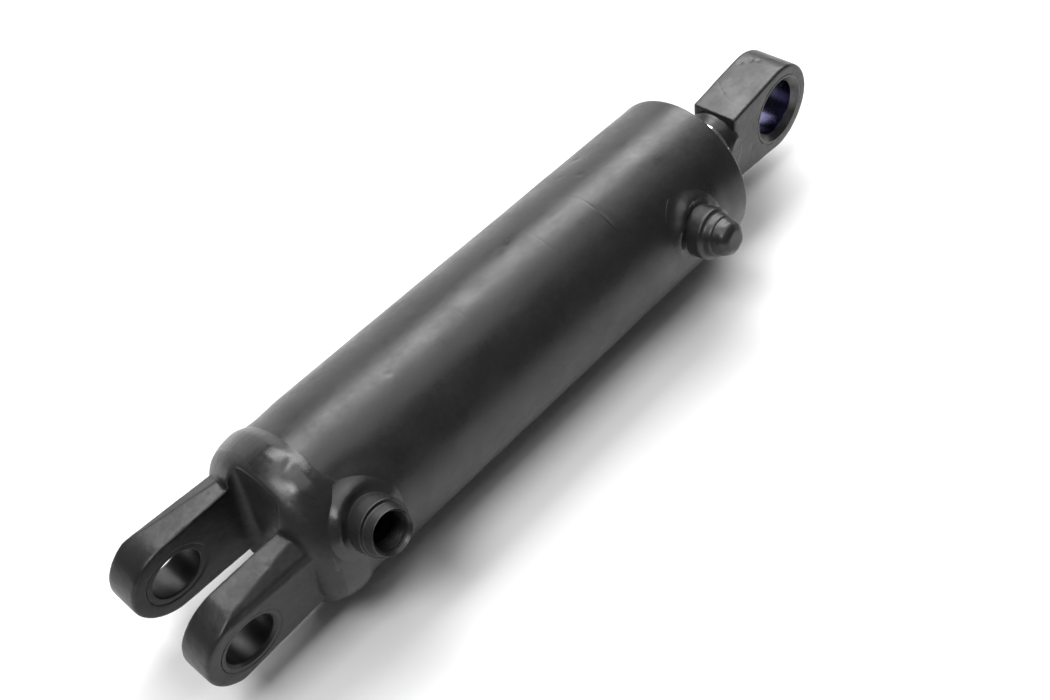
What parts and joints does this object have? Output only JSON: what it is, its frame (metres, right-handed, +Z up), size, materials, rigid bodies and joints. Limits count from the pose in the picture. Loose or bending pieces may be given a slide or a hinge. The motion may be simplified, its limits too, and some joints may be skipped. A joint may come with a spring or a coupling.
{
  "type": "hydraulic cylinder",
  "caption": "Welded double-acting hydraulic cylinder with a clevis base, side ports and a bushed eye on a sliding piston rod.",
  "frame": {"origin": "centre of the clevis pin, midway between the two ears", "axes": "+X along the cylinder towards the rod eye, the clevis pin along Y with the ports on the -Y side, +Z up"},
  "size_m": [0.4687, 0.1129, 0.0926],
  "materials": {
    "barrel_paint": "satin black enamel over drawn tube",
    "forging_paint": "satin black enamel over forged steel",
    "machined_paint": "satin black enamel over turned steel",
    "weld_paint": "satin black enamel over a rippled weld",
    "bushing_steel": "hardened steel, blued, paint on its rim",
    "rod_chrome": "ground and hard chromed",
    "piston_iron": "turned ductile iron",
    "nut_steel": "plain steel",
    "nitrile_rubber": "matte",
    "polyurethane": "smooth polyurethane",
    "wear_nylon": "filled nylon"
  },
  "bodies": {
    "barrel": {"barrel_tube": "barrel_paint", "base_clevis": "forging_paint", "base_port_boss": "machined_paint", "rod_port_boss": "machined_paint", "rod_port_plug": "machined_paint", "gland": "machined_paint", "base_weld_bead": "weld_paint", "base_port_weld": "weld_paint", "rod_port_weld": "weld_paint", "clevis_bushing_left": "bushing_steel", "clevis_bushing_right": "bushing_steel", "gland_o_ring": "nitrile_rubber", "rod_port_plug_o_ring": "nitrile_rubber", "rod_seal": "polyurethane", "rod_wiper": "polyurethane", "gland_backup_ring": "wear_nylon", "rod_wear_ring": "wear_nylon"},
    "piston_rings": {"piston_wear_ring_base": "wear_nylon", "piston_wear_ring_rod": "wear_nylon", "piston_seal": "polyurethane", "piston_seal_energizer": "nitrile_rubber"},
    "rod": {"piston_rod": "rod_chrome", "piston": "piston_iron", "piston_rod_o_ring": "nitrile_rubber", "piston_lock_nut": "nut_steel", "rod_eye": "forging_paint", "rod_eye_weld": "weld_paint", "rod_eye_bushing": "bushing_steel"}
  },
  "joints": [
    {"name": "rod_slide", "type": "slide", "parent": "barrel", "child": "piston_rings", "axis": [1, 0, 0], "range_m": [0, 0.1778]},
    {"name": "rod_turn", "type": "hinge", "parent": "piston_rings", "child": "rod", "pos_m": [0, 0, 0], "axis": [1, 0, 0], "continuous": true}
  ]
}
